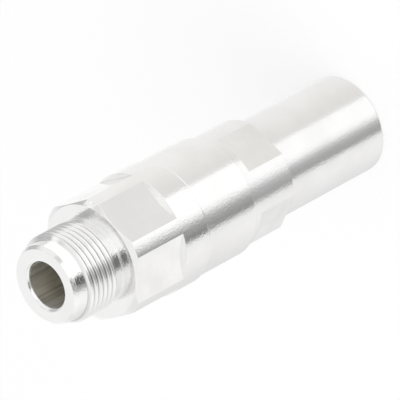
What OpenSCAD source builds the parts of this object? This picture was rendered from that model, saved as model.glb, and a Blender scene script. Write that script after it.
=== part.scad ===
// Female threaded coaxial jack with a screw clamp for a corrugated cable.
// It stands on the end of its clamp nut, +Z along the axis towards the jack.
// Lengths are in millimetres. The coupling thread is cut as rings at its pitch;
// the hidden threads are plain cylinders at their crests.
// Diameters are built up from the cable outwards, wall by wall.

/* [Jack nose] */
// Length of the nose, from the hex body to the jack face
nose_len = 10.9; // [9.5:0.1:14]
// Crest diameter of the coupling thread
jack_thread_d = 15.875; // [15:0.005:17]
// Depth of the coupling thread, which the pilot clears
jack_thread_depth = 0.74; // [0.5:0.01:0.9]
// Pitch of the coupling thread, 24 turns to the inch
jack_thread_pitch = 1.058; // [0.9:0.001:1.2]
// Width of that thread's crests
jack_crest = 0.35; // [0.15:0.05:0.45]
// Width of the flat at the bottom of its grooves
jack_root = 0.1; // [0.05:0.05:0.2]
// Length of the smooth pilot, from the jack face to the thread's lead-in
pilot_len = 2.4; // [1.5:0.1:3]
// Length of the thread's lead-in cone
lead_len = 0.5; // [0.2:0.1:1]
// Width of the relief groove behind the thread
relief_len = 1.1; // [0.6:0.1:2]
// Depth of that groove below the thread's crest
relief_depth = 0.5; // [0.2:0.05:0.7]
// Width of the lip between the groove and the body
relief_lip = 0.2; // [0.1:0.05:0.5]
// Chamfer round the rim of the jack face
rim_chamfer = 0.65; // [0.2:0.05:1]
// Diameter of the bore that takes the plug's outer contact
mating_d = 8.13; // [8:0.01:9]
// Depth of that bore, down to the electrical reference plane
mating_depth = 9.1; // [8:0.1:12]
// Chamfer at the mouth of the mating bore
mouth_chamfer = 0.645; // [0.2:0.005:1]

/* [Contacts] */
// Diameter of the jack's centre contact
contact_d = 3.04; // [2.8:0.02:3.4]
// How far the contact's tip lies behind the jack face
contact_recess = 5; // [4.6:0.05:5.6]
// Diameter of the socket in its tip
socket_d = 1.66; // [1.6:0.02:1.8]
// Depth of that socket
socket_depth = 5.6; // [3:0.1:6]
// Width of the four slots in its tip
socket_slot = 0.24; // [0.1:0.02:0.3]
// Diameter of the contact's neck in the front bead
neck_d = 2.2; // [1.8:0.1:2.6]
// Diameter of the stud that joins the two contacts
stud_d = 1.4; // [1:0.1:1.6]
// Length of that stud
stud_len = 3.2; // [2:0.1:4]
// Diameter of the socket for the cable's inner conductor
cable_socket_d = 3.6; // [3:0.05:4]
// Wall of the cable contact round that socket
cable_contact_wall = 0.4; // [0.3:0.05:0.8]
// Depth of the cable socket
cable_socket_depth = 6.6; // [4:0.1:9]
// How far the cable contact reaches past the rear bead
cable_contact_reach = 7; // [5:0.1:8]
// Width of the four slots in the cable socket
cable_slot = 0.4; // [0.2:0.05:0.6]

/* [Insulators] */
// Bore of the air line between the mating bore and the front bead
line_d = 7; // [6.6:0.05:7.6]
// Depth of the front bead's face behind the jack face
bead_depth = 13; // [12:0.1:16]
// Thickness of each bead
bead_len = 3; // [2:0.1:4]
// Depth of the ring-shaped recess in both faces of the front bead
bead_recess = 0.6; // [0.2:0.1:1]
// Radial width of that recess
bead_recess_w = 1.8; // [1:0.1:2.4]
// Number of through holes in the rear bead
bead_holes = 6; // [4:1:8]
// Diameter of those holes
bead_hole_d = 1.8; // [1:0.1:2]
// Length of the bush between the beads
bush_len = 5; // [4:0.1:7]
// Wall of the bush and of the clamp cone behind it
bush_wall = 1.33; // [1:0.01:1.8]
// Play of the pieces pushed into the body
push_play = 0.02; // [0.01:0.01:0.05]

/* [Cable] */
// Diameter of the cable's jacket
cable_d = 13.4; // [12:0.1:16]
// Radial play of the jacket in the entry bore
entry_play = 0.25; // [0.1:0.05:0.5]

/* [Cable seal] */
// Wall of the gasket at its lips
gasket_wall = 0.85; // [0.6:0.05:1.2]
// Length of the gasket
gasket_len = 12.1; // [8:0.1:18]
// Radial play of the jacket in the gasket's lips
lip_play = 0.05; // [0.02:0.01:0.15]
// Height of the lips
lip_height = 0.25; // [0.1:0.05:0.4]
// Number of lips
lip_count = 4; // [2:1:6]
// Thickness of the thrust washer and of the seat washer
washer_t = 1; // [0.6:0.1:1.4]
// Radial play of what lies inside the nut
seal_play = 0.05; // [0.03:0.01:0.1]
// Thickness of the snap ring's wire
snap_t = 0.7; // [0.5:0.05:0.8]
// Depth of the groove that holds the snap ring
snap_depth = 0.55; // [0.2:0.05:0.6]
// Opening of the snap ring, in degrees
snap_open = 40; // [20:5:90]

/* [Clamp] */
// Length of the clamp cone's tapered tip
cone_tip_len = 1.6; // [0.8:0.1:2]
// Step between the cone's body and its taper
cone_step = 0.28; // [0.1:0.01:0.5]
// Wall of the cone at its tip
cone_tip_wall = 0.35; // [0.2:0.05:0.6]
// Gap between the cone and the collet's mouth
cone_gap = 0.3; // [0.2:0.05:0.5]
// Radial play between the collet and the nut
collet_play = 0.4; // [0.3:0.05:0.6]
// Wall of the collet between its teeth
collet_wall = 0.95; // [0.7:0.05:1.2]
// Length of the collet
collet_len = 9.9; // [9:0.1:12]
// Thickness of the collet's head in front of the nut
collet_head = 0.6; // [0.3:0.1:0.8]
// Height of the teeth that grip the cable's corrugation
tooth_height = 0.35; // [0.2:0.05:0.5]
// Width of a tooth at its root
tooth_w = 0.9; // [0.5:0.1:1.2]
// Number of teeth
tooth_count = 3; // [1:1:3]
// Distance from one tooth to the next
tooth_pitch = 1.9; // [1.4:0.1:2.2]
// Number of slots in the collet
collet_slots = 6; // [4:1:8]
// Width of those slots
collet_slot = 0.7; // [0.4:0.1:1]
// Length of those slots
collet_slot_len = 7; // [4:0.1:8]
// Thickness of the garter spring round the collet
garter_cord = 0.66; // [0.4:0.02:0.7]
// Depth of the spring's groove
garter_depth = 0.4; // [0.2:0.05:0.5]
// Depth of the cone at the mouth of the nut that closes the collet
nut_cone_len = 1.2; // [0.6:0.1:1.6]
// Radial widening of that cone
nut_cone_rise = 0.2; // [0.1:0.05:0.35]

/* [Clamp nut] */
// Wall of the nut's threaded spigot round the gasket and the collet
nut_spigot_wall = 1.25; // [1.1:0.05:2]
// Step from the sleeve down to the nut's head
nut_step = 0.65; // [0.2:0.05:0.8]
// Length of the head
nut_len = 10.1; // [6:0.1:16]
// Number of flats on the head
nut_flats = 4; // [4:2:6]
// Depth of those flats below the round corners
nut_flat_depth = 0.835; // [0.3:0.005:0.9]
// Turn of the head's flats from those of the body, in degrees
nut_turn = 6.8; // [0:0.1:45]
// Length of the round collar in front of the flats
collar_len = 1.8; // [0.8:0.1:4]
// Wall of the tail tube
tail_wall = 1.87; // [1.6:0.01:1.95]
// Length of the tail tube
tail_len = 24.1; // [14:0.1:40]
// Rounding of the tail's end
tail_round = 0.45; // [0.1:0.05:0.8]
// Chamfer at the mouth of the entry bore
entry_chamfer = 0.5; // [0.2:0.05:0.8]

/* [Middle sleeve] */
// Wall of the sleeve round its thread
sleeve_wall = 1.86; // [1.3:0.02:3]
// Length of the sleeve between the body and the clamp nut
sleeve_len = 11.7; // [10:0.1:18]
// Radial play between the mating threads
thread_play = 0.05; // [0.02:0.01:0.1]
// Gap inside the sleeve between the two spigots
spigot_gap = 1.1; // [1:0.1:2]

/* [O-rings] */
// Thickness of the two O-rings
oring_cord = 1; // [0.8:0.05:1.1]
// Width of their grooves
oring_groove = 1.4; // [1.25:0.05:1.6]
// Depth of their grooves
oring_depth = 0.65; // [0.5:0.05:0.75]
// Gap between an O-ring's outside and the sleeve
oring_gap = 0.04; // [0.01:0.01:0.1]

/* [Hex body] */
// Step from the sleeve up to the body
body_step = 0.32; // [0.1:0.01:1.5]
// Length of the body behind the nose
body_len = 17.1; // [14:0.1:24]
// Depth of the six flats below the round corners
flat_depth = 0.88; // [0.4:0.02:1.2]
// Length of the flats, from the front of the body
flat_len = 11.4; // [6:0.1:14]
// Height of the front chamfer
body_chamfer = 0.98; // [0.3:0.02:1.5]
// Length of the front chamfer
body_chamfer_len = 0.65; // [0.3:0.05:2]
// Length of the body's spigot inside the sleeve
spigot_len = 4.5; // [3.5:0.1:5]
// Wall of that spigot round the beads
spigot_wall = 2.45; // [2:0.05:3]

/* [Hidden] */
$fn = 96;
// Overrun of cutting tools past the faces they cut
over = 1;
// Small edge chamfer on turned shoulders
edge = 0.2;

// Radii, from the cable outwards
entry_r = cable_d / 2 + entry_play;
tail_r = entry_r + tail_wall;
lip_r = cable_d / 2 + lip_play;
stack_r = lip_r + gasket_wall - seal_play;
chamber_r = stack_r + seal_play;
male_r = chamber_r + nut_spigot_wall;
female_r = male_r + thread_play;
sleeve_r = female_r + sleeve_wall;
body_r = sleeve_r + body_step;
nut_r = sleeve_r - nut_step;

// Jack nose
jack_thread_r = jack_thread_d / 2;
pilot_r = jack_thread_r - jack_thread_depth;
mating_r = mating_d / 2;

// Contacts and insulators
cable_contact_r = cable_socket_d / 2 + cable_contact_wall;
bead_bore_r = male_r - spigot_wall;
bead_r = bead_bore_r - push_play;
rear_line_r = bead_r - bush_wall;

// Collet and garter spring
collet_r = chamber_r - collet_play;
collet_bore_r = collet_r - collet_wall;
garter_groove_r = collet_r - garter_depth;

// O-rings
groove_r = male_r - oring_depth;
oring_r = groove_r + push_play + oring_cord / 2;
oring_bore_r = oring_r + oring_cord / 2 + oring_gap;
oring_bore_len = oring_groove + edge;

// Heights of the outer seams, from the tail's end up
z_head = tail_len;
z_nut_top = z_head + nut_len;
z_sleeve_top = z_nut_top + sleeve_len;
z_body_top = z_sleeve_top + body_len;
z_face = z_body_top + nose_len;

// Heights inside the body, from the jack face down
z_ref = z_face - mating_depth;
z_bead = z_face - bead_depth;
z_bush_top = z_bead - bead_len;
z_bush = z_bush_top - bush_len;
z_cone_top = z_bush - bead_len;
z_spigot = z_sleeve_top - spigot_len;

// Heights inside the nut, from its spigot down
z_nut_spigot = z_spigot - spigot_gap;
z_collet_top = z_nut_spigot + collet_head;
z_collet = z_collet_top - collet_len;
z_garter = z_collet_top - collet_slot_len / 2;
z_snap = z_collet + edge;
z_gasket_top = z_collet - washer_t;
z_gasket = z_gasket_top - gasket_len;
z_seat = z_gasket - washer_t;

// A turned piece from its half section, a list of [radius, height] points.
module turned(points) {
    rotate_extrude() polygon(points);
}

// A plain ring between two radii.
module ring(inner_r, outer_r, z, height) {
    turned([[inner_r, z], [outer_r, z], [outer_r, z + height], [inner_r, z + height]]);
}

// An O-ring or a spring ring: a torus on the axis.
module torus(centre_r, cord, z) {
    translate([0, 0, z])
        rotate_extrude()
            translate([centre_r, 0])
                circle(d = cord, $fn = 32);
}

// Blocks outside a regular set of flats, to be cut away from a round piece.
module flat_cutters(count, flat_r, outer_r, z, height) {
    for (i = [0 : count - 1])
        rotate([0, 0, i * 360 / count])
            translate([-outer_r, -flat_r - outer_r, z])
                cube([2 * outer_r, outer_r, height]);
}

// Thin blades through the axis that slot a round end.
module slot_cutters(count, width, reach, z, height) {
    for (i = [0 : count - 1])
        rotate([0, 0, i * 360 / count])
            translate([0, -width / 2, z])
                cube([reach, width, height]);
}

// Jack nose, hex body and threaded spigot, turned and milled from one bar.
module front_body() {
    bore = [
        [mating_r + mouth_chamfer, z_face],
        [mating_r, z_face - mouth_chamfer],
        [mating_r, z_ref],
        [line_d / 2, z_ref],
        [line_d / 2, z_bead],
        [bead_bore_r, z_bead]
    ];
    spigot = [
        [bead_bore_r, z_spigot],
        [male_r - edge, z_spigot],
        [male_r, z_spigot + edge],
        [male_r, z_sleeve_top - oring_groove],
        [groove_r, z_sleeve_top - oring_groove],
        [groove_r, z_sleeve_top]
    ];
    hex = [
        [body_r - edge, z_sleeve_top],
        [body_r, z_sleeve_top + edge],
        [body_r, z_body_top - body_chamfer_len],
        [body_r - body_chamfer, z_body_top]
    ];
    z_groove = z_body_top + relief_lip;
    z_thread = z_groove + relief_len + relief_depth / 2;
    z_lead = z_face - pilot_len - lead_len;
    nose = [
        [jack_thread_r - relief_depth / 2, z_body_top],
        [jack_thread_r - relief_depth / 2, z_groove],
        [jack_thread_r - relief_depth, z_groove],
        [jack_thread_r - relief_depth, z_groove + relief_len],
        [jack_thread_r, z_thread]
    ];
    flank = (jack_thread_pitch - jack_crest - jack_root) / 2;
    root_r = jack_thread_r - flank * tan(60);
    turns = floor((z_lead - z_thread - edge / 4) / jack_thread_pitch);
    thread = [
        for (i = [0 : turns - 1])
            let (z = z_thread + i * jack_thread_pitch + jack_crest)
                each [
                    [jack_thread_r, z],
                    [root_r, z + flank],
                    [root_r, z + flank + jack_root],
                    [jack_thread_r, z + 2 * flank + jack_root]
                ]
    ];
    rim = [
        [jack_thread_r, z_lead],
        [pilot_r, z_face - pilot_len],
        [pilot_r, z_face - rim_chamfer],
        [pilot_r - rim_chamfer, z_face]
    ];
    color("silver")
        difference() {
            turned(concat(bore, spigot, hex, nose, thread, rim));
            flat_cutters(6, body_r - flat_depth, body_r, z_body_top - flat_len, flat_len + over);
        }
}

// Front support bead, with a ring-shaped recess in each face.
module front_bead() {
    neck_r = neck_d / 2 + push_play;
    recess_r = (neck_r + bead_r - bead_recess_w) / 2;
    color("white")
        difference() {
            ring(neck_r, bead_r, z_bush_top, bead_len);
            for (z = [z_bush_top - over, z_bead - bead_recess])
                ring(recess_r, recess_r + bead_recess_w, z, bead_recess + over);
        }
}

// Bush that keeps the two beads apart and carries the outer line between them.
module bead_bush() {
    color("silver")
        ring(rear_line_r, bead_r, z_bush, bush_len);
}

// Rear bead, drilled through on a circle.
module rear_bead() {
    hole_r = (bead_r + cable_contact_r) / 2;
    color("white")
        difference() {
            ring(cable_contact_r + push_play, bead_r, z_cone_top, bead_len);
            for (i = [0 : bead_holes - 1])
                rotate([0, 0, i * 360 / bead_holes])
                    translate([hole_r, 0, z_cone_top - over])
                        cylinder(d = bead_hole_d, h = bead_len + 2 * over, $fn = 32);
        }
}

// Slotted socket contact of the jack, with a stud for the cable contact.
module centre_contact() {
    z_tip = z_face - contact_recess;
    z_socket = z_tip - socket_depth;
    color("gold")
        difference() {
            turned([
                [0, z_bush_top - stud_len],
                [stud_d / 2, z_bush_top - stud_len],
                [stud_d / 2, z_bush_top],
                [neck_d / 2, z_bush_top],
                [neck_d / 2, z_bead],
                [contact_d / 2, z_bead],
                [contact_d / 2, z_tip - edge],
                [contact_d / 2 - edge, z_tip],
                [0, z_tip]
            ]);
            translate([0, 0, z_socket])
                cylinder(d = socket_d, h = socket_depth + over, $fn = 48);
            slot_cutters(4, socket_slot, contact_d, z_socket + edge, socket_depth + over);
        }
}

// Slotted socket for the cable's inner conductor, screwed on the stud.
module cable_contact() {
    z_end = z_cone_top - cable_contact_reach;
    z_stud = z_bush_top - stud_len - push_play;
    color("gold")
        difference() {
            turned([
                [0, z_end],
                [cable_contact_r - edge, z_end],
                [cable_contact_r, z_end + edge],
                [cable_contact_r, z_bush_top - edge],
                [cable_contact_r - edge, z_bush_top],
                [0, z_bush_top]
            ]);
            translate([0, 0, z_end - over])
                cylinder(d = cable_socket_d, h = cable_socket_depth + over, $fn = 48);
            translate([0, 0, z_stud])
                cylinder(r = stud_d / 2 + push_play, h = stud_len + over, $fn = 48);
            slot_cutters(4, cable_slot, 2 * cable_contact_r, z_end - over, cable_socket_depth + over);
        }
}

// Ring whose tapered tip goes into the flared end of the cable's outer conductor.
module clamp_cone() {
    color("silver")
        turned([
            [rear_line_r, z_spigot - cone_tip_len],
            [rear_line_r + cone_tip_wall, z_spigot - cone_tip_len],
            [bead_r - cone_step, z_spigot],
            [bead_r, z_spigot],
            [bead_r, z_cone_top],
            [rear_line_r, z_cone_top]
        ]);
}

// O-ring at the root of the body's spigot.
module body_o_ring() {
    color("dimgray")
        torus(oring_r, oring_cord, z_sleeve_top - oring_groove / 2);
}

// Plain sleeve that joins the body and the nut, threaded right through.
module middle_sleeve() {
    color("silver")
        turned([
            [oring_bore_r, z_nut_top],
            [sleeve_r - edge, z_nut_top],
            [sleeve_r, z_nut_top + edge],
            [sleeve_r, z_sleeve_top - edge],
            [sleeve_r - edge, z_sleeve_top],
            [oring_bore_r, z_sleeve_top],
            [oring_bore_r, z_sleeve_top - oring_bore_len],
            [female_r, z_sleeve_top - oring_bore_len - edge],
            [female_r, z_nut_top + oring_bore_len + edge],
            [oring_bore_r, z_nut_top + oring_bore_len]
        ]);
}

// O-ring at the root of the nut's spigot.
module nut_o_ring() {
    color("dimgray")
        torus(oring_r, oring_cord, z_nut_top + oring_groove / 2);
}

// Slotted collet with teeth for the corrugation and a groove for its spring.
module clamp_collet() {
    head_r = chamber_r + nut_cone_rise - seal_play;
    mouth_r = bead_r - cone_step + cone_gap;
    z_first_tooth = z_collet_top - collet_head - tooth_w;
    z_slots = z_collet_top - collet_slot_len;
    color("silver")
        difference() {
            union() {
                turned([
                    [collet_bore_r, z_collet],
                    [collet_r - edge, z_collet],
                    [collet_r, z_collet + edge],
                    [collet_r, z_nut_spigot - nut_cone_len],
                    [chamber_r - seal_play, z_nut_spigot - nut_cone_len],
                    [head_r, z_nut_spigot],
                    [head_r, z_collet_top],
                    [mouth_r, z_collet_top],
                    [collet_bore_r, z_collet_top - collet_head]
                ]);
                for (i = [0 : tooth_count - 1])
                    translate([0, 0, z_first_tooth - i * tooth_pitch])
                        turned([
                            [collet_bore_r + edge, -tooth_w / 2],
                            [collet_bore_r, -tooth_w / 2],
                            [collet_bore_r - tooth_height, 0],
                            [collet_bore_r, tooth_w / 2],
                            [collet_bore_r + edge, tooth_w / 2]
                        ]);
            }
            ring(garter_groove_r, 2 * collet_r, z_garter - garter_cord, 2 * garter_cord);
            slot_cutters(collet_slots, collet_slot, 2 * collet_r, z_slots, collet_slot_len + over);
        }
}

// Spring ring that keeps the collet's fingers together.
module garter_spring() {
    color("gainsboro")
        torus(garter_groove_r + push_play + garter_cord / 2, garter_cord, z_garter);
}

// Open wire ring that keeps the seal in the nut.
module snap_ring() {
    inner_r = collet_r + seal_play;
    outer_r = chamber_r + snap_depth - push_play;
    color("gray")
        rotate([0, 0, snap_open / 2])
            rotate_extrude(angle = 360 - snap_open)
                translate([inner_r, z_snap])
                    square([outer_r - inner_r, snap_t]);
}

// Washer that keeps the collet off the gasket.
module thrust_washer() {
    color("silver")
        ring(entry_r, stack_r, z_gasket_top, washer_t);
}

// Rubber gasket with lips that grip the cable's jacket.
module cable_gasket() {
    step = gasket_len / lip_count;
    color("dimgray")
        difference() {
            ring(lip_r, stack_r, z_gasket, gasket_len);
            for (i = [0 : lip_count - 1])
                ring(0, lip_r + lip_height, z_gasket + (i + 1/4) * step, step / 2);
        }
}

// Washer between the gasket and its seat in the nut.
module seat_washer() {
    color("silver")
        ring(entry_r, stack_r, z_seat, washer_t);
}

// Clamp nut with its flats, threaded spigot and long tail, turned as one piece.
module clamp_nut() {
    tail = [
        [entry_r + entry_chamfer, 0],
        for (a = [0 : 15 : 90]) [
            tail_r - tail_round + tail_round * sin(a),
            tail_round - tail_round * cos(a)
        ],
        [tail_r, z_head]
    ];
    head = [
        [nut_r - edge, z_head],
        [nut_r, z_head + edge],
        [nut_r, z_nut_top - edge],
        [nut_r - edge, z_nut_top]
    ];
    spigot = [
        [groove_r, z_nut_top],
        [groove_r, z_nut_top + oring_groove],
        [male_r, z_nut_top + oring_groove],
        [male_r, z_nut_spigot - edge],
        [male_r - edge, z_nut_spigot]
    ];
    bore = [
        [chamber_r + nut_cone_rise, z_nut_spigot],
        [chamber_r, z_nut_spigot - nut_cone_len],
        [chamber_r, z_seat],
        [entry_r, z_seat],
        [entry_r, entry_chamfer]
    ];
    snap_groove = snap_t + 2 * seal_play;
    flat_r = nut_r - nut_flat_depth;
    flat_span = nut_len - collar_len + over;
    color("silver")
        difference() {
            turned(concat(tail, head, spigot, bore));
            ring(collet_r, chamber_r + snap_depth, z_snap - seal_play, snap_groove);
            rotate([0, 0, nut_turn])
                flat_cutters(nut_flats, flat_r, nut_r, z_head - over, flat_span);
        }
}

front_body();
front_bead();
bead_bush();
rear_bead();
centre_contact();
cable_contact();
clamp_cone();
body_o_ring();
middle_sleeve();
nut_o_ring();
clamp_collet();
garter_spring();
snap_ring();
thrust_washer();
cable_gasket();
seat_washer();
clamp_nut();
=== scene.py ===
# Looks for a female threaded coaxial jack with a screw clamp for a corrugated cable.
# Lengths in the dictionaries are millimetres unless a line says otherwise.
import math

import bmesh
import bpy
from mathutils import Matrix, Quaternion, Vector


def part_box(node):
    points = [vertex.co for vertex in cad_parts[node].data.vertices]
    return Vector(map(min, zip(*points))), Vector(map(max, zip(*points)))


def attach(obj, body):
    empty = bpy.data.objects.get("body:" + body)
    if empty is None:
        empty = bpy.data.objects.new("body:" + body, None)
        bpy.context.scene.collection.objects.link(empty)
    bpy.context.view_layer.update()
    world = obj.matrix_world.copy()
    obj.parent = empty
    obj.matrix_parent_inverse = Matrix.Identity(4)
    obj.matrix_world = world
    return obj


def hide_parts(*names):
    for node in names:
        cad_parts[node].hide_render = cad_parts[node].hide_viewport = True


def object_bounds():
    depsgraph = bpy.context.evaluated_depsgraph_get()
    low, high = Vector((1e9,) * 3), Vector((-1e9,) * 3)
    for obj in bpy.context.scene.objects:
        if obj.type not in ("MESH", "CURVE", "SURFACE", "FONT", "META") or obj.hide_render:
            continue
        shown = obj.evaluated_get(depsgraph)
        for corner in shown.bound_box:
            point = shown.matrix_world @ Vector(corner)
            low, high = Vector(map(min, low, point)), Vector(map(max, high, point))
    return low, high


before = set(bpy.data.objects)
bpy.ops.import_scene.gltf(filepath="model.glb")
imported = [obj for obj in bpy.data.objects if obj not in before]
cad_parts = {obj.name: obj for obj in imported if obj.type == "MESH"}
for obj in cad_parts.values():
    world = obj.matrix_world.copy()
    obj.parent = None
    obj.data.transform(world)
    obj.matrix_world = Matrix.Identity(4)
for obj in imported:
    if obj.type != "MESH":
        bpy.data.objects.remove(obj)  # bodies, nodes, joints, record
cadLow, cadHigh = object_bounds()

scene = bpy.context.scene
scene.view_settings.view_transform = "Standard"
mm = 0.001
turn = 2 * math.pi
# metres: points that are one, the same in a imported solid, and edges too short to keep
welds = {"same": 2e-7, "packed": 2e-6, "tiny": 1e-8}


def addObject(name, data):
    added = bpy.data.objects.new(name, data)
    scene.collection.objects.link(added)
    return added


# node wiring

class Wire:
    # one output of a node, so that sums can be written as sums
    def __init__(self, tree, socket=None, node=None):
        self.tree, self.socket, self.node = tree, socket, node

    def add(self, kind, settings=None, sockets=None, out=0):
        node = self.tree.nodes.new(kind)
        for name, value in (settings or {}).items():
            if name == "stops":
                fillRamp(node.color_ramp, value)
            else:
                setattr(node, name, value)
        for name, value in (sockets or {}).items():
            if isinstance(value, Wire):
                self.tree.links.new(value.socket, node.inputs[name])
            else:
                node.inputs[name].default_value = value
        return Wire(self.tree, node.outputs[out] if len(node.outputs) else None, node)

    def out(self, name):
        return Wire(self.tree, self.node.outputs[name], self.node)

    def math(self, operation, *values):
        return self.add("ShaderNodeMath", {"operation": operation}, dict(enumerate(values)))

    def __add__(self, other): return self.math("ADD", self, other)
    def __radd__(self, other): return self.math("ADD", other, self)
    def __sub__(self, other): return self.math("SUBTRACT", self, other)
    def __rsub__(self, other): return self.math("SUBTRACT", other, self)
    def __mul__(self, other): return self.math("MULTIPLY", self, other)
    def __rmul__(self, other): return self.math("MULTIPLY", other, self)
    def __truediv__(self, other): return self.math("DIVIDE", self, other)
    def __pow__(self, other): return self.math("POWER", self, other)

    def clamp(self, low=0.0, high=1.0):
        return self.add("ShaderNodeClamp", None, {"Value": self, "Min": low, "Max": high})

    def mixColours(self, first, second):
        return self.add("ShaderNodeMix", {"data_type": "RGBA"},
                        {0: self, 6: first, 7: second}, out=2)


def fillRamp(ramp, stops):
    while len(ramp.elements) < len(stops):
        ramp.elements.new(0.5)
    for element, (place, colour) in zip(ramp.elements, stops):
        element.position = place
        element.color = (*colour, 1) if isinstance(colour, tuple) else (colour,) * 3 + (1,)


# camera, floor and light

view = {
    "azimuth": -110.2288,  # degrees, from the aim to the camera
    "elevation": 39.2898,
    "roll": -118.3755,
    "distance": 1081.43,
    "lens": 580.905,
    "sensor": 36,
    "clip": (0.05, 60),  # metres
    "aim": (0.339, -0.125, 0.4919),  # across in mm, and the share of the object's height
}


def setCamera():
    data = bpy.data.cameras.new("camera")
    data.sensor_width, data.lens = view["sensor"], view["lens"]
    data.clip_start, data.clip_end = view["clip"]
    camera = addObject("camera", data)
    x, y, share = view["aim"]
    aim = Vector((x * mm, y * mm, cadLow.z + share * (cadHigh.z - cadLow.z)))
    azimuth, elevation = math.radians(view["azimuth"]), math.radians(view["elevation"])
    back = Vector((math.cos(elevation) * math.cos(azimuth),
                   math.cos(elevation) * math.sin(azimuth), math.sin(elevation)))
    camera.location = aim + back * view["distance"] * mm
    camera.rotation_mode = "QUATERNION"
    camera.rotation_quaternion = ((-back).to_track_quat("-Z", "Y")
                                  @ Quaternion((0, 0, 1), math.radians(view["roll"])))
    scene.camera = camera
    print("camera set")


studio = {
    "faces": -109.2,  # azimuth that the middle of the panels faces, in degrees
    "soft": 0.75,     # light from all round on plain surfaces
    # azimuth from the middle, in degrees, and how bright the panel there is
    "low": [
        (-180, 0.80), (-152, 0.81), (-128, 0.88), (-104, (0.96, 0.955, 0.95)),
        (-84, (1.0, 0.995, 0.99)), (-68, (0.985, 0.985, 0.98)), (-59, 0.95), (-55, 0.60),
        (-50, 0.25), (-41, 0.35), (-33, 0.42), (-28, 0.56), (-22, 0.84), (-16, 1.08), (-8, 1.2),
        (31, 1.2), (37, (0.82, 0.81, 0.80)), (48, (0.855, 0.84, 0.82)), (64, (0.90, 0.885, 0.86)),
        (80, (0.95, 0.93, 0.91)), (96, (0.985, 0.97, 0.95)), (120, (0.995, 0.99, 0.985)),
        (144, 0.985), (164, 1.02), (180, 0.92),
    ],
    "middle": [
        (-180, 1.0), (-155, 1.05), (-141, 0.96), (-125, 0.89), (-107, 1.0), (-84, 1.09),
        (-68, 1.04), (-59, 0.94), (-53, 0.56), (-47, 0.50), (-32, 0.52), (-24, 0.76), (-18, 1.05),
        (-8, 1.3), (50, 1.3), (62, (1.0, 1.0, 0.99)), (90, (1.0, 0.995, 0.99)),
        (104, (0.92, 0.92, 0.915)), (116, 0.58), (136, 0.56), (150, 0.90), (166, 1.0), (180, 1.0),
    ],
    "top": [
        (-180, 1.0), (-90, 0.98), (-61, 0.92), (-48, 0.46), (-28, 0.50), (-15, 0.88), (0, 1.08),
        (22, 1.08), (32, 1.01), (41, 0.84), (52, 0.84), (64, (0.95, 0.95, 0.945)), (84, 0.97),
        (98, 0.80), (108, 0.68), (122, 0.85), (150, 1.0), (180, 1.0),
    ],
    # gaps and strips between panels: middle and half width in degrees, then in height, and level
    "strips": [(127, 12, 0.51, 0.09, 0.60), (-33, 22, 0.63, 0.13, 0.20),
               (68, 42, -0.46, 0.09, 1.35), (-29, 17, -0.46, 0.09, 0.10),
               (45, 18, 0.44, 0.17, 0.80), (92, 34, 0.68, 0.08, 1.10),
               (146, 12, 0.68, 0.08, 0.70)],
    "edges": (40, 20),  # how crisply a strip starts, round and in height
    # height at which each ring takes over from the one below, and how quickly
    "middleFrom": (-0.58, 7), "topFrom": (0.62, 10),
    "ends": (0.85, 12),  # the same for the white above and below all rings
}
lampLook = {
    "size": 0.7, "power": 2.0,  # metres and watts
    "place": (-0.45, -0.25, 0.75), "aim": (0, 0, 0.03),
}


def takesOver(rise, height, quickness):
    return ((rise - height) * quickness).clamp()


def seenByEye(pen):
    rays = pen.add("ShaderNodeLightPath")
    return rays.math("MAXIMUM", rays.out("Is Camera Ray"), rays.out("Is Transmission Ray"))


def lightStudio():
    world = bpy.data.worlds.new("studio")
    scene.world = world
    world.use_nodes = True
    world.node_tree.nodes.clear()
    pen = Wire(world.node_tree)
    turned = pen.add("ShaderNodeMapping", None, {
        "Vector": pen.add("ShaderNodeTexCoord").out("Generated"),
        "Rotation": (0, 0, math.radians(-studio["faces"]))})
    axes = pen.add("ShaderNodeSeparateXYZ", None, {"Vector": turned})
    around = pen.math("ARCTAN2", axes.out("Y"), axes.out("X")) / turn + 0.5
    ring = {}
    for name in ("low", "middle", "top"):
        stops = [((angle + 180) / 360, colour) for angle, colour in studio[name]]
        ring[name] = pen.add("ShaderNodeValToRGB", {"stops": stops}, {"Fac": around})
    rise = axes.out("Z")
    panels = takesOver(rise, *studio["middleFrom"]).mixColours(ring["low"], ring["middle"])
    panels = takesOver(rise, *studio["topFrom"]).mixColours(panels, ring["top"])
    edgeRound, edgeUp = studio["edges"]
    for middle, half, height, tall, level in studio["strips"]:
        aside = pen.math("ABSOLUTE", around - (middle + 180) / 360)
        above = pen.math("ABSOLUTE", rise - height)
        strip = ((half / 360 - aside) * edgeRound).clamp() * ((tall - above) * edgeUp).clamp()
        panels = strip.mixColours(panels, (level, level, level, 1))
    for end in (rise, -1 * rise):
        panels = takesOver(end, *studio["ends"]).mixColours(panels, (1, 1, 1, 1))
    plain = seenByEye(pen).mixColours((studio["soft"],) * 3 + (1,), (1, 1, 1, 1))
    glossy = pen.add("ShaderNodeLightPath").out("Is Glossy Ray")
    back = pen.add("ShaderNodeBackground", None, {"Color": glossy.mixColours(plain, panels)})
    pen.add("ShaderNodeOutputWorld", None, {"Surface": back})

    data = bpy.data.lights.new("softbox", "AREA")
    data.shape, data.size, data.energy = "SQUARE", lampLook["size"], lampLook["power"]
    lamp = addObject("softbox", data)
    lamp.location = lampLook["place"]
    lamp.rotation_mode = "QUATERNION"
    lamp.rotation_quaternion = (Vector(lampLook["aim"]) - lamp.location).to_track_quat("-Z", "Y")
    lamp.visible_glossy = False
    print("studio lit")


floorLook = {
    "size": 3000,
    "paint": 0.85,  # what the part reflects and is lit by
    "shade": 0.42, "glow": 0.62,  # what the eye sees, with the part's shadow on it
}


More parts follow.
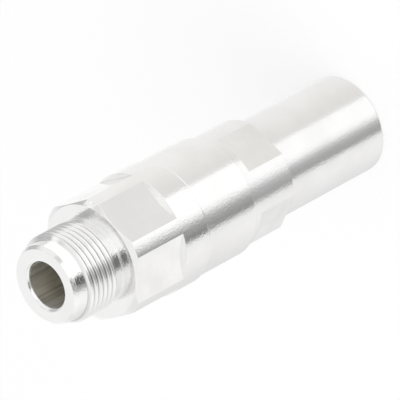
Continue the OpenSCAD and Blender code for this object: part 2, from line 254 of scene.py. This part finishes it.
def layFloor():
    half = floorLook["size"] / 2 * mm
    mesh = bpy.data.meshes.new("floor")
    mesh.from_pydata([(-half, -half, cadLow.z), (half, -half, cadLow.z),
                      (half, half, cadLow.z), (-half, half, cadLow.z)], [], [(0, 1, 2, 3)])
    floor = addObject("floor", mesh)
    paint = bpy.data.materials.new("palePaper")
    paint.use_nodes = True
    paint.node_tree.nodes.clear()
    pen = Wire(paint.node_tree)
    plain = pen.add("ShaderNodeBsdfDiffuse", None, {"Color": (floorLook["paint"],) * 3 + (1,)})
    shade = pen.add("ShaderNodeBsdfDiffuse", None, {"Color": (floorLook["shade"],) * 3 + (1,)})
    glow = pen.add("ShaderNodeEmission", None, {"Strength": floorLook["glow"]})
    shown = pen.add("ShaderNodeAddShader", None, {0: shade, 1: glow})
    surface = pen.add("ShaderNodeMixShader", None, {0: seenByEye(pen), 1: plain, 2: shown})
    pen.add("ShaderNodeOutputMaterial", None, {"Surface": surface})
    mesh.materials.append(paint)
    floor.visible_glossy = False
    print("floor laid")


# finishes

def openMaterial(name):
    material = bpy.data.materials.new(name)
    material.use_nodes = True
    material.node_tree.nodes.clear()
    pen = Wire(material.node_tree)
    shader = pen.add("ShaderNodeBsdfPrincipled")
    pen.add("ShaderNodeOutputMaterial", None, {"Surface": shader})
    place = pen.add("ShaderNodeTexCoord").out("Object")
    axes = pen.add("ShaderNodeSeparateXYZ", None, {"Vector": place})
    return material, pen, shader, place, axes


def join(pen, source, shader, name):
    pen.tree.links.new(source.socket, shader.node.inputs[name])


def spread(axes):
    return (axes.out("X") ** 2 + axes.out("Y") ** 2) ** 0.5


def lathed(axes, slant):
    # runs along the axis, and outwards on the faces, as a lathe tool does
    return axes.out("Z") + spread(axes) * slant


def cloud(pen, scale, detail, roughness=0.5, **where):
    # noise in the space of the piece (Vector), or along one line (W)
    kind = {"noise_dimensions": "1D"} if "W" in where else None
    return pen.add("ShaderNodeTexNoise", kind,
                   {"Scale": scale, "Detail": detail, "Roughness": roughness, **where})


def patches(noise, start, contrast):
    return ((noise - start) * contrast).clamp()


plating = {
    "patchStart": 0.42, "patchContrast": 4.5,  # smudges
    "streakShare": 0.5,  # turning lines in the colour
    "axialStreakStart": 0.45, "axialStreakContrast": 5,  # streaks along the axis
    "heightEdge": 3000,  # how crisply the painted shade at a thread's root ends, per metre
    "broadOffset": 0.37,  # keeps the broad lines off the fine ones
}


def metalFinish(name, look):
    material, pen, shader, place, axes = openMaterial(name)
    path = lathed(axes, look["slant"])
    fine = cloud(pen, look["fine"], 2.0, 0.55, W=path)
    broad = cloud(pen, look["broad"], 1.0, W=path + plating["broadOffset"])
    smudge = cloud(pen, look["smudge"], 4.0, 0.6, Vector=place)
    grain = cloud(pen, look["grain"], 2.0, Vector=place)
    height = fine + broad * look["broadShare"] + grain * look["grainShare"]
    bump = pen.add("ShaderNodeBump", None,
                   {"Strength": 1.0, "Distance": look["relief"] * mm, "Height": height})
    join(pen, bump, shader, "Normal")
    patch = patches(smudge, plating["patchStart"], plating["patchContrast"])
    colour = patch.mixColours((*look["clean"], 1), (*look["dull"], 1))
    streak = ((fine - 0.5) * look["streak"] + 0.5).clamp()
    colour = (streak * plating["streakShare"]).mixColours(colour, (*look["line"], 1))
    if "axialStreaks" in look:
        # darker streaks along the axis, at random angles round the bore
        angle = pen.math("ARCTAN2", axes.out("Y"), axes.out("X"))
        lines = cloud(pen, 1.0, 4.0, 0.6, W=angle * look["axialStreaks"])
        lines = patches(lines, plating["axialStreakStart"], plating["axialStreakContrast"])
        colour = lines.mixColours(colour, (*look["axialStreakTone"], 1))
    if "root" in look:
        # painted shade: the colour turns grey towards the bottom of the thread, where its grooves
        # lie in shade
        depth = (look["root"] + look["deep"]) * mm - spread(axes)
        low = (depth * (1000 / look["deep"])).clamp()
        foot, top = look["rootHeights"]
        low = low * patches(axes.out("Z"), foot * mm, plating["heightEdge"])
        low = low * ((top * mm - axes.out("Z")) * plating["heightEdge"]).clamp()
        colour = (low * look["rootShare"]).mixColours(colour, (*look["rootTone"], 1))
    join(pen, colour, shader, "Base Color")
    rough = patch * look["roughRise"] + fine * look["roughLine"] + look["rough"]
    join(pen, rough, shader, "Roughness")
    shader.node.inputs["Metallic"].default_value = look["metallic"]
    return material


# slant turns the lines outwards on the faces, scales are per metre, relief is in mm, shares
# are parts of the relief, and the colours are bare metal, smudge and turning line
turnedPlate = {
    "slant": 0.61, "fine": 7000, "broad": 1300, "broadShare": 2.0, "smudge": 140,
    "grain": 2700, "grainShare": 17, "relief": 0.0014,
    "clean": (0.892, 0.892, 0.89), "dull": (0.85, 0.846, 0.838), "line": (0.85, 0.848, 0.842),
    "streak": 2.0, "rough": 0.05, "roughRise": 0.04, "roughLine": 0.04, "metallic": 1.0,
}
milledPlate = {
    "slant": 0, "fine": 5200, "broad": 900, "broadShare": 1.4, "smudge": 130,
    "grain": 2600, "grainShare": 1.6, "relief": 0.0014,
    "clean": (0.94, 0.938, 0.935), "dull": (0.85, 0.846, 0.84), "line": (0.87, 0.867, 0.86),
    "streak": 1.4, "rough": 0.10, "roughRise": 0.06, "roughLine": 0.04, "metallic": 1.0,
}
# the sleeve and the nut come from duller baths than the hex body
sleevePlate = dict(turnedPlate, rough=0.09, metallic=0.93)
nutPlate = dict(turnedPlate, rough=0.11, metallic=0.80)
threadPlate = dict(turnedPlate, fine=9000, broadShare=0.8, relief=0.001, rough=0.08)
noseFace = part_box("front_body")[1].z / mm
# the nose thread carries painted shade, grey towards its roots
noseThreadPlate = dict(threadPlate, grainShare=6, root=7.18, deep=0.5, rootShare=0.85,
                       rootTone=(0.34, 0.34, 0.33), rootHeights=(noseFace - 9.15, noseFace - 2.6))
borePlate = dict(turnedPlate, clean=(0.99, 0.984, 0.96), dull=(0.96, 0.953, 0.91),
                 line=(0.90, 0.895, 0.85), rough=0.44, roughRise=0.1, smudge=500, relief=0.005,
                 grainShare=3, axialStreaks=2.6, axialStreakTone=(0.58, 0.575, 0.525))
goldPlate = dict(turnedPlate, clean=(0.80, 0.68, 0.42), dull=(0.72, 0.58, 0.34),
                 line=(0.66, 0.52, 0.3), rough=0.22, fine=9000)
springWire = dict(turnedPlate, clean=(0.60, 0.60, 0.60), dull=(0.50, 0.49, 0.47),
                  line=(0.45, 0.44, 0.43), rough=0.24, smudge=500)


beadLook = {
    "white": (0.90, 0.90, 0.885), "shade": (0.84, 0.83, 0.80), "slant": 0.8, "rings": 5200,
    "cloud": 420, "patchStart": 0.4, "patchContrast": 4, "cloudShare": 0.5, "relief": 0.003,
    "rough": 0.34, "roughRings": 0.12, "roughCloud": 0.06,
    "depth": 0.12, "reach": (0.0006, 0.0006, 0.0005),  # light inside, in metres
}


def beadFinish(name):
    look = beadLook
    material, pen, shader, place, axes = openMaterial(name)
    rings = cloud(pen, look["rings"], 2.0, W=lathed(axes, look["slant"]))
    mist = cloud(pen, look["cloud"], 3.0, Vector=place)
    patch = patches(mist, look["patchStart"], look["patchContrast"])
    join(pen, patch.mixColours((*look["white"], 1), (*look["shade"], 1)), shader, "Base Color")
    rough = rings * look["roughRings"] + patch * look["roughCloud"] + look["rough"]
    join(pen, rough, shader, "Roughness")
    bump = pen.add("ShaderNodeBump", None,
                   {"Distance": look["relief"] * mm,
                    "Height": rings + mist * look["cloudShare"]})
    join(pen, bump, shader, "Normal")
    shader.node.inputs["Subsurface Weight"].default_value = look["depth"]
    shader.node.inputs["Subsurface Radius"].default_value = look["reach"]
    return material


rubberLook = {
    "black": (0.022, 0.022, 0.023), "bloom": (0.05, 0.05, 0.052), "grain": 3400, "cloud": 260,
    "patchStart": 0.45, "patchContrast": 3.5, "relief": 0.006,
    "rough": 0.42, "roughBloom": 0.14, "roughGrain": 0.12,
}


def rubberFinish(name):
    look = rubberLook
    material, pen, shader, place, _ = openMaterial(name)
    grain = cloud(pen, look["grain"], 3.0, Vector=place)
    bloom = cloud(pen, look["cloud"], 3.0, Vector=place)
    patch = patches(bloom, look["patchStart"], look["patchContrast"])
    join(pen, patch.mixColours((*look["black"], 1), (*look["bloom"], 1)), shader, "Base Color")
    rough = patch * look["roughBloom"] + grain * look["roughGrain"] + look["rough"]
    join(pen, rough, shader, "Roughness")
    bump = pen.add("ShaderNodeBump", None, {"Distance": look["relief"] * mm, "Height": grain})
    join(pen, bump, shader, "Normal")
    return material


turnedMetal = metalFinish("turnedPlating", turnedPlate)
sleeveMetal = metalFinish("sleevePlating", sleevePlate)
nutMetal = metalFinish("nutPlating", nutPlate)
milledMetal = metalFinish("milledPlating", milledPlate)
threadMetal = metalFinish("threadPlating", threadPlate)
noseThreadMetal = metalFinish("noseThreadPlating", noseThreadPlate)
boreMetal = metalFinish("borePlating", borePlate)
gold = metalFinish("goldPlating", goldPlate)
wireSteel = metalFinish("springSteel", springWire)
whitePlastic = beadFinish("whiteFluoroplastic")
rubber = rubberFinish("blackRubber")
print("finishes mixed")


# mesh making

bends = {
    "share": 0.42,  # of an edge, that a bend may take at most
    "hold": 0.35, "holdLeast": 0.01, "holdShare": 0.07,  # how far past a bend the next point is
    "least": 1e-6,  # what counts as no length
}


def rounded(corners, coarse=3):
    # outline points from (radius, height, bend) corners, with a point kept close to each bend,
    # and as many points at a corner whatever its size, so that outlines can be skinned
    points = []
    for i, (r, z, bend, *fine) in enumerate(corners):
        steps = fine[0] if fine else coarse
        here = Vector((r, z))
        before = Vector(corners[i - 1][:2]) - here
        after = Vector(corners[(i + 1) % len(corners)][:2]) - here
        plain = [here.copy() for _ in range(steps + 3)]
        if min(before.length, after.length) < bends["least"] or bend <= 0:
            points += plain
            continue
        u, v = before.normalized(), after.normalized()
        half = u.angle(v) / 2
        reach = min(bend / math.tan(half) if half > 1e-3 else 0,
                    bends["share"] * before.length, bends["share"] * after.length)
        hold = min(bends["hold"] * reach + bends["holdLeast"],
                   bends["holdShare"] * before.length, bends["holdShare"] * after.length)
        radius = reach * math.tan(half)
        bisector = u + v
        if min(bisector.length, radius) < bends["least"]:
            points += plain
            continue
        centre = here + bisector.normalized() * (radius / math.sin(half))
        start, end = here + u * reach, here + v * reach
        a, b = start - centre, end - centre
        w = a.angle(b)
        points.append(start + u * hold)
        for k in range(steps + 1):
            t = k / steps
            mixed = (a * math.sin((1 - t) * w) + b * math.sin(t * w)) / math.sin(w)
            points.append(centre + mixed)
        points.append(end + v * hold)
    return points


def crease(mesh, degrees):
    # smooth rounds, with crisp edges where faces meet at more than this
    mesh.polygons.foreach_set("use_smooth", [True] * len(mesh.polygons))
    mesh.set_sharp_from_angle(angle=math.radians(degrees))


def columnMesh(name, angles, outlineAt):
    # skins the closed outlines that stand at each angle round the axis
    form = bmesh.new()
    rings = []
    for angle in angles:
        c, s = math.cos(angle), math.sin(angle)
        rings.append([form.verts.new((p.x * c * mm, p.x * s * mm, p.y * mm))
                      for p in outlineAt(angle)])
    for i, ring in enumerate(rings):
        following = rings[(i + 1) % len(rings)]
        for k in range(len(ring)):
            j = (k + 1) % len(ring)
            form.faces.new((ring[k], following[k], following[j], ring[j]))
    bmesh.ops.remove_doubles(form, verts=form.verts, dist=welds["same"])
    bmesh.ops.dissolve_degenerate(form, edges=form.edges, dist=welds["tiny"])
    bmesh.ops.recalc_face_normals(form, faces=form.faces)
    mesh = bpy.data.meshes.new(name)
    form.to_mesh(mesh)
    form.free()
    crease(mesh, 38)
    return addObject(name, mesh)


roundSteps = 288  # faces round a turned piece
closeSteps = (0.002, 0.005, 0.010, 0.020)  # radians from an edge


def evenAngles():
    return [turn * i / roundSteps for i in range(roundSteps)]


def flatAngles(flats, start, halfSpan):
    # even angles, with more of them where a flat runs into the round
    found = set(round(a, 6) for a in evenAngles())
    for i in range(flats):
        for side in (-1, 1):
            edge = start + turn * i / flats + side * halfSpan
            found.add(round(edge % turn, 6))
            for step in closeSteps:
                found.add(round((edge - step) % turn, 6))
                found.add(round((edge + step) % turn, 6))
    return sorted(found)


def flatRadius(angle, flats, start, apothem, outer, soft=0.02):
    # radius of a round bar with flats, whose long edges are broken by a quarter of soft
    sector = turn / flats
    off = (angle - start + sector / 2) % sector - sector / 2
    flat = apothem / math.cos(off)
    blend = max(soft - abs(flat - outer), 0) / soft
    return min(flat, outer) - blend * blend * soft / 4


def finish(piece, body, material, slotName, *nodes):
    if material is not None:
        piece.data.materials.clear()
        piece.data.materials.append(material)
    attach(piece, body)
    if nodes:
        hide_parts(*nodes)


margins = {"height": 0.03, "radius": 0.02, "bore": 0.03, "upright": 0.05}


def paintFaces(piece, material, chosen):
    # gives the faces that are chosen by their middle and normal a finish of their own
    piece.data.materials.append(material)
    index = len(piece.data.materials) - 1
    for face in piece.data.polygons:
        if chosen(face.center / mm, face.normal):
            face.material_index = index


def paintFlats(piece, low, high, outer):
    # the milled flats: upright faces that look outwards and lie inside the round
    low, high, outer = low + margins["height"], high - margins["height"], outer - margins["radius"]
    paintFaces(piece, milledMetal, lambda middle, normal: (
        abs(normal.z) < margins["upright"] and low < middle.z < high
        and math.hypot(middle.x, middle.y) < outer
        and normal.x * middle.x + normal.y * middle.y > 0))


def paintBore(piece, low, radius):
    # the plating bath reaches the bore less well
    paintFaces(piece, boreMetal, lambda middle, normal: (
        middle.z > low and math.hypot(middle.x, middle.y) < radius + margins["bore"]))


# threads

def newTree(name, lengths, numbers=(), counts=()):
    # a tree of nodes with named inputs, and a material as the last of them
    tree = bpy.data.node_groups.new(name, "GeometryNodeTree")
    kinds = [(label, "Float") for label in (*lengths, *numbers)]
    kinds += [(label, "Int") for label in counts] + [("Finish", "Material")]
    for label, kind in kinds:
        tree.interface.new_socket(label, in_out="INPUT", socket_type="NodeSocket" + kind)
    tree.interface.new_socket("Geometry", in_out="OUTPUT", socket_type="NodeSocketGeometry")
    pen = Wire(tree)
    return tree, pen, pen.add("NodeGroupInput")


def endTree(pen, shape, given):
    smooth = pen.add("GeometryNodeSetShadeSmooth", None, {"Geometry": shape})
    real = pen.add("GeometryNodeRealizeInstances", None, {"Geometry": smooth})
    painted = pen.add("GeometryNodeSetMaterial", None,
                      {"Geometry": real, "Material": given.out("Finish")})
    pen.add("NodeGroupOutput", None, {"Geometry": painted})


threadLengths = ("Crest radius", "Root radius", "Pitch", "Start height", "Top cone radius",
                 "Top cone height", "Low cone radius", "Low cone height")
threadGrid = {
    "columns": 37,  # 35 form the ridge, and the outer two meet under it to close it
    "across": 36 / 17,  # makes the ridge's columns run from -1 to 1
    "runOut": 6,  # the ridge starts and ends over 1/6 of a turn
    "edge": 0.49,  # the closing columns lie past this
    "under": 0.05,  # and this far below the root
    "weld": 5e-7,  # metres
}


def threadTree():
    tree, pen, given = newTree("cutThread", threadLengths, ("Turns", "Fullness", "Cone slope"),
                               ("Steps",))
    strip = pen.add("GeometryNodeMeshGrid", None,
                    {"Size X": 1.0, "Size Y": 1.0, "Vertices X": given.out("Steps"),
                     "Vertices Y": threadGrid["columns"]})
    spot = pen.add("ShaderNodeSeparateXYZ", None, {"Vector": pen.add("GeometryNodeInputPosition")})
    along = spot.out("X") + 0.5
    under = pen.math("GREATER_THAN", pen.math("ABSOLUTE", spot.out("Y")), threadGrid["edge"])
    across = spot.out("Y") * threadGrid["across"] * (1 - under)
    share = pen.math("COSINE", across * (turn / 4)).clamp() ** given.out("Fullness") * (1 - under)
    ends = pen.math("MINIMUM", along, 1 - along) * given.out("Turns") * threadGrid["runOut"]
    height = (given.out("Start height") + given.out("Pitch") * given.out("Turns") * along
              + across * given.out("Pitch") * 0.5 * ends.clamp())
    foot = given.out("Root radius")
    full = foot + (given.out("Crest radius") - foot) * share
    slope = given.out("Cone slope")
    topCone = given.out("Top cone radius") + (given.out("Top cone height") - height) * slope
    lowCone = given.out("Low cone radius") + (height - given.out("Low cone height")) * slope
    cut = pen.math("MINIMUM", pen.math("MINIMUM", full, topCone), lowCone)
    radius = pen.math("MAXIMUM", cut, foot) - under * (threadGrid["under"] * mm)
    angle = along * given.out("Turns") * turn
    place = pen.add("ShaderNodeCombineXYZ", None, {"X": radius * pen.math("COSINE", angle),
                                                   "Y": radius * pen.math("SINE", angle),
                                                   "Z": height})
    moved = pen.add("GeometryNodeSetPosition", None,
                    {"Geometry": strip.out("Mesh"), "Position": place})
    closed = pen.add("GeometryNodeMergeByDistance", None,
                     {"Geometry": moved, "Distance": threadGrid["weld"]})
    endTree(pen, closed, given)
    return tree


def grow(name, tree, values, lengths=()):
    # runs a node tree and keeps what it makes as a plain mesh
    holder = addObject(name, bpy.data.meshes.new(name + "Seed"))
    rule = holder.modifiers.new("rule", "NODES")
    rule.node_group = tree
    for item in tree.interface.items_tree:
        if item.item_type == "SOCKET" and item.in_out == "INPUT" and item.name in values:
            value = values[item.name]
            rule[item.identifier] = value * mm if item.name in lengths else value
    graph = bpy.context.evaluated_depsgraph_get()
    mesh = bpy.data.meshes.new_from_object(holder.evaluated_get(graph))
    holder.modifiers.clear()
    holder.data = mesh
    mesh.name = name
    form = bmesh.new()
    form.from_mesh(mesh)
    bmesh.ops.dissolve_degenerate(form, edges=form.edges, dist=welds["tiny"])
    bmesh.ops.recalc_face_normals(form, faces=form.faces)
    form.to_mesh(mesh)
    form.free()
    mesh.set_sharp_from_angle(angle=math.radians(36))
    return holder


threadRule = threadTree()


# hex body with the jack nose

hexBody = {
    "faceHeight": noseFace,
    "footHeight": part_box("middle_sleeve")[1].z / mm,
    "spigotFoot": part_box("front_body")[0].z / mm,
    "outer": 11.08, "apothem": 10.2, "firstFlat": -90, "flatLength": 11.4,  # angle in degrees
    "noseLength": 10.9, "chamfer": 0.98, "chamferLength": 0.65, "edge": 0.2,
    "lip": 7.6875, "lipHeight": 0.2, "relief": 7.4375, "reliefHeight": 1.4, "rootCone": 0.2,
    "pilot": 7.1975, "pilotTaper": 0.2, "pilotLength": 2.5, "rim": 0.65,
    "threadFrom": 0.7,  # from the shoulder to the thread's start
    "mouth": 0.8, "matingBore": 4.065, "matingDepth": 9.1,
    "lineBore": 3.5, "beadDepth": 13, "beadBore": 6.4,
    "spigot": 8.85, "groove": 8.2, "grooveHeight": 1.4,
}


def makeHexBody():
    b = hexBody
    face, foot = b["faceHeight"], b["footHeight"]
    top = face - b["noseLength"]
    wall = top - b["flatLength"]
    first = math.radians(b["firstFlat"])
    slope = b["chamferLength"] / b["chamfer"]

    def outline(angle):
        flat = flatRadius(angle, 6, first, b["apothem"], b["outer"])
        crown = top - b["chamferLength"] + (b["outer"] - flat) * slope
        relief = top + b["lipHeight"] + b["reliefHeight"]
        return rounded([
            (b["beadBore"], b["spigotFoot"], 0.05),
            (b["spigot"] - b["edge"], b["spigotFoot"], 0.05),
            (b["spigot"], b["spigotFoot"] + b["edge"], 0.05),
            (b["spigot"], foot - b["grooveHeight"], 0.05),
            (b["groove"], foot - b["grooveHeight"], 0.05),
            (b["groove"], foot, 0.03),
            (b["outer"] - b["edge"], foot, 0.04),
            (b["outer"], foot + b["edge"], 0.06),
            (b["outer"], wall, 0.05),
            (flat, wall, 0.03),
            (flat, crown, 0.05),
            (b["outer"] - b["chamfer"], top, 0.06),
            (b["lip"], top, 0.03),
            (b["lip"], top + b["lipHeight"], 0.12),
            (b["relief"], top + b["lipHeight"], 0.1),
            (b["relief"], relief, 0.05),
            (b["pilot"], relief + b["rootCone"], 0.05),
            (b["pilot"], face - b["pilotLength"], 0.2),
            (b["pilot"] - b["pilotTaper"], face - b["rim"], 0.25, 5),
            (b["pilot"] - b["rim"], face, 0.10, 4),
            (b["matingBore"], face, b["mouth"], 9),
            (b["matingBore"], face - b["matingDepth"], 0.05),
            (b["lineBore"], face - b["matingDepth"], 0.05),
            (b["lineBore"], face - b["beadDepth"], 0.03),
            (b["beadBore"], face - b["beadDepth"], 0.05),
        ])

    halfSpan = math.acos(b["apothem"] / b["outer"])
    piece = columnMesh("hexBody", flatAngles(6, first, halfSpan), outline)
    finish(piece, "jack", turnedMetal, "plated_brass", "front_body")
    paintFlats(piece, wall, top, b["outer"])
    paintBore(piece, face - b["beadDepth"], b["matingBore"])
    print("hex body made")


noseThread = {
    "Crest radius": 7.9375, "Root radius": 7.16, "Pitch": 1.0583, "Turns": 7.4,
    "Fullness": 0.62, "Cone slope": 1.48, "Steps": 660,
    "Top cone radius": 7.1975, "Low cone radius": 7.4375,
}


def makeNoseThread():
    b = hexBody
    values = dict(noseThread, Finish=noseThreadMetal)
    shoulder = b["faceHeight"] - b["noseLength"]
    values["Low cone height"] = shoulder + b["lipHeight"] + b["reliefHeight"]
    values["Top cone height"] = b["faceHeight"] - b["pilotLength"]
    values["Start height"] = shoulder + b["threadFrom"]
    piece = grow("noseThread", threadRule, values, threadLengths)
    finish(piece, "jack", None, "plated_brass")
    print("nose thread cut")


# middle sleeve

sleeve = {
    "low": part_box("middle_sleeve")[0].z / mm, "high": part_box("middle_sleeve")[1].z / mm,
    "outer": 10.76, "edge": 0.2, "ringBore": 9.26, "ringBoreLength": 1.6, "bore": 8.9,
    "seam": 0.08, "seamDepth": 0.9,
}


def makeSleeve():
    s = sleeve
    deep = s["ringBoreLength"]
    # a hair of a gap stays open where the sleeve meets its neighbours
    low, high, inner = s["low"] + s["seam"], s["high"] - s["seam"], s["outer"] - s["seamDepth"]
    corners = rounded([
        (s["ringBore"], s["low"], 0.05), (inner, s["low"], 0.02), (inner, low, 0.02),
        (s["outer"] - s["edge"], low, 0.04), (s["outer"], low + s["edge"], 0.06),
        (s["outer"], high - s["edge"], 0.16), (s["outer"] - s["edge"], high, 0.06),
        (inner, high, 0.02), (inner, s["high"], 0.02), (s["ringBore"], s["high"], 0.05),
        (s["ringBore"], s["high"] - deep, 0.04), (s["bore"], s["high"] - deep - s["edge"], 0.04),
        (s["bore"], s["low"] + deep + s["edge"], 0.04), (s["ringBore"], s["low"] + deep, 0.04),
    ])
    piece = columnMesh("middleSleeve", evenAngles(), lambda angle: corners)
    finish(piece, "jack", sleeveMetal, "plated_brass", "middle_sleeve")
    print("middle sleeve made")


# clamp nut

nut = {
    "foot": 0.0, "headHeight": 24.1, "seam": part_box("middle_sleeve")[0].z / mm,
    "spigotTop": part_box("clamp_nut")[1].z / mm,
    "outer": 10.11, "apothem": 9.275, "firstFlat": -83.2, "collar": 1.8, "edge": 0.2,
    "tail": 8.82, "tailRound": 0.45, "entry": 6.95, "entryChamfer": 0.5,
    "seat": 16.9, "chamber": 7.6, "coneRise": 0.2, "coneLength": 1.2,
    "groove": 8.2, "grooveHeight": 1.4, "core": 8.27, "coreTaper": 0.02, "coreTaperLength": 0.5,
    "snapLow": 31.15, "snapHeight": 0.8, "snapDepth": 0.55,
    "threadFrom": -0.3,  # from the groove to the thread's start
}
spigotThread = dict(noseThread, **{
    "Crest radius": 8.85, "Root radius": 8.22, "Pitch": 1.0, "Turns": 5.6, "Steps": 420,
    "Cone slope": 1.0, "Top cone radius": 8.55, "Low cone radius": 8.5})


def makeNut():
    n = nut
    first = math.radians(n["firstFlat"])
    seam, head, top = n["seam"], n["headHeight"], n["spigotTop"]
    flatEnd, grooveTop = seam - n["collar"], seam + n["grooveHeight"]
    snapTop, snapRadius = n["snapLow"] + n["snapHeight"], n["chamber"] + n["snapDepth"]

    def outline(angle):
        flat = flatRadius(angle, 4, first, n["apothem"], n["outer"])
        step = min(flat, n["outer"] - n["edge"])
        return rounded([
            (n["entry"], n["foot"] + n["entryChamfer"], 0.06),
            (n["entry"] + n["entryChamfer"], n["foot"], 0.05),
            (n["tail"], n["foot"], n["tailRound"]),
            (n["tail"], head, 0.06),
            (step, head, 0.04),
            (flat, head + n["edge"], 0.05),
            (flat, flatEnd, 0.03),
            (n["outer"], flatEnd, 0.05),
            (n["outer"], seam - n["edge"], 0.06),
            (n["outer"] - n["edge"], seam, 0.04),
            (n["groove"], seam, 0.05),
            (n["groove"], grooveTop, 0.05),
            (n["core"], grooveTop, 0.02),
            (n["core"], top - n["coreTaperLength"], 0.03),
            (n["core"] - n["coreTaper"], top, 0.03),
            (n["chamber"] + n["coneRise"], top, 0.05),
            (n["chamber"], top - n["coneLength"], 0.05),
            (n["chamber"], snapTop, 0.02),
            (snapRadius, snapTop, 0.02),
            (snapRadius, n["snapLow"], 0.02),
            (n["chamber"], n["snapLow"], 0.02),
            (n["chamber"], n["seat"], 0.05),
            (n["entry"], n["seat"], 0.05),
        ], 4)

    halfSpan = math.acos(n["apothem"] / n["outer"])
    piece = columnMesh("clampNut", flatAngles(4, first, halfSpan), outline)
    finish(piece, "nut", nutMetal, "plated_brass", "clamp_nut")
    paintFlats(piece, head, flatEnd, n["outer"])
    values = dict(spigotThread, Finish=threadMetal)
    values["Start height"] = grooveTop + n["threadFrom"]
    values["Low cone height"], values["Top cone height"] = grooveTop, top
    finish(grow("nutThread", threadRule, values, threadLengths), "nut", None, "plated_brass")
    print("clamp nut made")


# garter spring

springLengths = ("Ring radius", "Coil radius", "Wire radius", "Height")


def springTree():
    tree, pen, given = newTree("garterCoil", springLengths, ("Coils",), ("Steps",))
    path = pen.add("GeometryNodeCurvePrimitiveCircle", None,
                   {"Resolution": given.out("Steps"), "Radius": 1.0})
    angle = pen.add("GeometryNodeSplineParameter").out("Factor") * turn
    coil = angle * given.out("Coils")
    reach = given.out("Ring radius") + given.out("Coil radius") * pen.math("COSINE", coil)
    place = pen.add("ShaderNodeCombineXYZ", None, {
        "X": reach * pen.math("COSINE", angle), "Y": reach * pen.math("SINE", angle),
        "Z": given.out("Height") + given.out("Coil radius") * pen.math("SINE", coil)})
    wound = pen.add("GeometryNodeSetPosition", None, {"Geometry": path, "Position": place})
    # six sides are enough for so thin a wire
    section = pen.add("GeometryNodeCurvePrimitiveCircle", None,
                      {"Resolution": 6, "Radius": given.out("Wire radius")})
    wire = pen.add("GeometryNodeCurveToMesh", None, {"Curve": wound, "Profile Curve": section})
    endTree(pen, wire, given)
    return tree


garter = {"Ring radius": 7.15, "Coil radius": 0.255, "Wire radius": 0.07, "Coils": 120.0,
          "Steps": 1440}


def makeGarter():
    low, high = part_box("garter_spring")
    values = dict(garter, Height=(low.z + high.z) / 2 / mm, Finish=wireSteel)
    piece = grow("garterCoil", springTree(), values, springLengths)
    finish(piece, "collet", None, "spring_steel", "garter_spring")
    print("garter spring wound")


# insulators, contact and rubber

def cleanCopy(node, name, material, body, slotName):
    # a welded copy of a solid with smooth rounds and crisp edges
    mesh = bpy.data.meshes.new(name)
    form = bmesh.new()
    form.from_mesh(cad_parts[node].data)
    bmesh.ops.remove_doubles(form, verts=form.verts, dist=welds["packed"])
    form.to_mesh(mesh)
    form.free()
    if "custom_normal" in mesh.attributes:
        mesh.attributes.remove(mesh.attributes["custom_normal"])
    crease(mesh, 30)
    finish(addObject(name, mesh), body, material, slotName, node)


def dressNodes():
    cleanCopy("centre_contact", "centreContact", gold, "jack", "gold_contact")
    cleanCopy("front_bead", "frontBead", whitePlastic, "jack", "ptfe")
    cleanCopy("nut_o_ring", "nutRing", rubber, "nut", "rubber")
    cleanCopy("cable_gasket", "cableGasket", rubber, "nut", "rubber")
    cleanCopy("clamp_collet", "clampCollet", turnedMetal, "collet", "plated_brass")
    plain = {"body_o_ring": rubber, "rear_bead": whitePlastic, "bead_bush": turnedMetal,
             "cable_contact": gold, "clamp_cone": turnedMetal, "snap_ring": wireSteel,
             "thrust_washer": turnedMetal, "seat_washer": turnedMetal}
    for node, material in plain.items():
        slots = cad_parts[node].data.materials
        if not slots:
            slots.append(None)
        for i in range(len(slots)):
            slots[i] = material
    print("inner pieces dressed")


setCamera()
lightStudio()
layFloor()
makeHexBody()
makeNoseThread()
makeSleeve()
makeNut()
makeGarter()
dressNodes()
